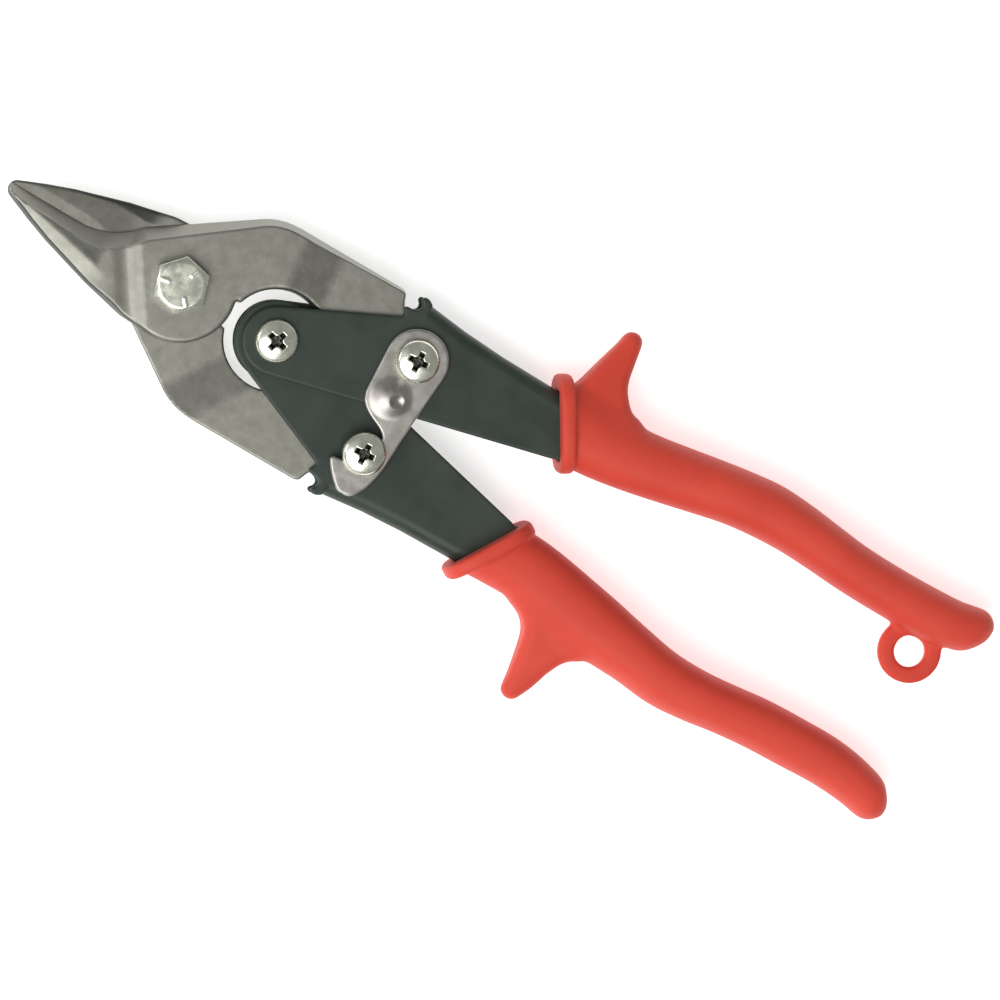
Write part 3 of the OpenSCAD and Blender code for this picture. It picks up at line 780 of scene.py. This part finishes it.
def grip(form, ring):
    """Field of a dipped vinyl grip with its bead, its guard horn and its hanging ring, if it has one."""
    low, high = (np.array(p) for p in form["mouth"])
    middle, long_way = (low + high) / 2, (high - low) / np.linalg.norm(high - low)
    into = np.array((long_way[1], -long_way[0]))
    end_x, end_y, end_lean = form["end"]
    tip, root = np.array(form["tip"]), np.array(form["root"])
    horn_way = (tip - root) / np.linalg.norm(tip - root)
    horn_long = np.linalg.norm(tip - root)
    horn_plan = rounded(form["horn"], 2.0)

    def shape(x, y, z):
        inner, outer = curve(x, form["x"], form["inner"]), curve(x, form["x"], form["outer"])
        half = curve(x, form["x"], form["half"])
        deep = (x - middle[0]) * into[0] + (y - middle[1]) * into[1]
        across = (x - middle[0]) * long_way[0] + (y - middle[1]) * long_way[1]
        body = oval(y - (inner + outer) / 2, z, (outer - inner) / 2, half)
        body = meet(body, x - end_x + end_lean * (y - end_y), 4.2)
        body = np.maximum(body, 0.6 - deep)
        out = np.clip(((x - root[0]) * horn_way[0] + (y - root[1]) * horn_way[1]) / horn_long, 0, 1)
        thick = HORN_ROOT - HORN_TAPER * out
        horn = meet(outline_distance(horn_plan, x, y), np.abs(z) - thick, 2.3)
        horn = np.maximum(horn, 0.9 - deep)
        solid = join(body, horn, 3.2)
        bead = oval(across, z, BEAD_LONG, BEAD_HIGH, 3.0)
        bead = meet(bead, np.abs(deep - BEAD_THICK / 2) - BEAD_THICK / 2, 0.95)
        solid = join(solid, bead, 0.5)
        if ring:
            away = np.hypot(x - RING[0], y - RING[1])
            loop = meet(np.maximum(away - RING_R, RING_HOLE_R - away), np.abs(z) - RING_HALF, 0.9)
            solid = join(solid, loop, 1.3)
        plan = np.minimum(outline_distance(OUTER_PLAN, x, y), outline_distance(INNER_PLAN, x, y))
        pocket = np.maximum(plan, np.abs(z - NEST) - CHANNEL_HALF - SHEET) - 0.12
        return cut(solid, pocket, 0.3)

    return shape


for name, body, form, node, turn in (("vinyl_grip_upper", "upper_lever", UPPER, "upper_grip", False),
                                     ("vinyl_grip_lower", "lower_lever", LOWER, "lower_grip", True)):
    points, faces = surface(grip(form, not turn), (80, 1, -10.4), (199, 45, 10.4), 0.45)
    if turn:
        points, faces = flipped(points, faces)
    piece(name, points, faces, body, "grip_vinyl", VINYL, [node])

# ------------------------------------------------------------------ CAD nodes that stay in view
for node in ("pivot_washer", "pivot_nut", "hub_sleeve", "hub_washer", "hub_spacer", "upper_tang_sleeve",
             "lower_tang_sleeve", "latch_washer"):
    obj = frame["nodes"][node]
    obj.data.materials.clear()
    obj.data.materials.append(ZINC)
    weld = obj.modifiers.new("weld", "WELD")
    weld.merge_threshold = 0.00001
    edge = obj.modifiers.new("edge", "BEVEL")
    edge.width, edge.segments, edge.limit_method = 0.00012, 2, "ANGLE"
    edge.angle_limit = math.radians(30)
    edge.use_clamp_overlap = True

# ------------------------------------------------------------------ floor, light, camera
RIGHT, UP = Vector((0.8616, 0.5075, 0)), Vector((-0.5075, 0.8616, 0))
AIM = Vector((0.0843, -0.0054, 0.0188))


def make_floor():
    mesh = bpy.data.meshes.new("floor")
    mesh.from_pydata([(-3, -3, 0), (3, -3, 0), (3, 3, 0), (-3, 3, 0)], [], [(0, 1, 2, 3)])
    m = Nodes("floor_paper", Roughness=0.9)
    m.shader.inputs["Specular IOR Level"].default_value = 0.1
    m.shader.inputs["Emission Color"].default_value = (1, 1, 1, 1)
    m.shader.inputs["Emission Strength"].default_value = 0.6
    colour = m.mixed(m.noise(0.01, 2, 0.5), (0.93, 0.93, 0.925), (0.95, 0.95, 0.945))
    mesh.materials.append(m.done(colour))
    floor = bpy.data.objects.new("floor", mesh)
    bpy.context.scene.collection.objects.link(floor)


def make_light(name, towards, distance, size, power, colour=(1, 1, 1)):
    """Square soft light that faces the middle of the tool from a direction."""
    light = bpy.data.lights.new(name, "AREA")
    light.shape, light.size, light.energy, light.color = "SQUARE", size, power, colour
    obj = bpy.data.objects.new(name, light)
    obj.location = AIM + towards.normalized() * distance
    obj.rotation_mode = "QUATERNION"
    obj.rotation_quaternion = (-towards).to_track_quat("-Z", "Y")
    bpy.context.scene.collection.objects.link(obj)


def make_camera():
    data = bpy.data.cameras.new("camera")
    data.sensor_width, data.lens = 36, 196.4
    data.clip_start, data.clip_end = 0.05, 20
    camera = bpy.data.objects.new("camera", data)
    back = (Vector((0, 0, 1)) - 0.14 * RIGHT + 0.06 * UP).normalized()
    up = (UP - back * UP.dot(back)).normalized()
    right = up.cross(back)
    turn = Matrix((right, up, back)).transposed()
    camera.matrix_world = Matrix.Translation(AIM + back * 1.2) @ turn.to_4x4()
    bpy.context.scene.collection.objects.link(camera)
    bpy.context.scene.camera = camera


def make_world():
    world = bpy.data.worlds.new("studio")
    bpy.context.scene.world = world
    world.use_nodes = True
    background = world.node_tree.nodes["Background"]
    background.inputs["Color"].default_value = (1, 1, 1, 1)
    background.inputs["Strength"].default_value = 0.3


make_floor()
make_world()
make_light("key", -0.43 * RIGHT - 0.4 * UP + Vector((0, 0, 1)), 1.15, 0.9, 10)
make_light("side", -1.0 * RIGHT + 0.3 * UP + Vector((0, 0, 0.6)), 1.2, 0.4, 2)
make_camera()
bpy.context.scene.view_settings.view_transform = "Standard"
bpy.context.view_layer.update()
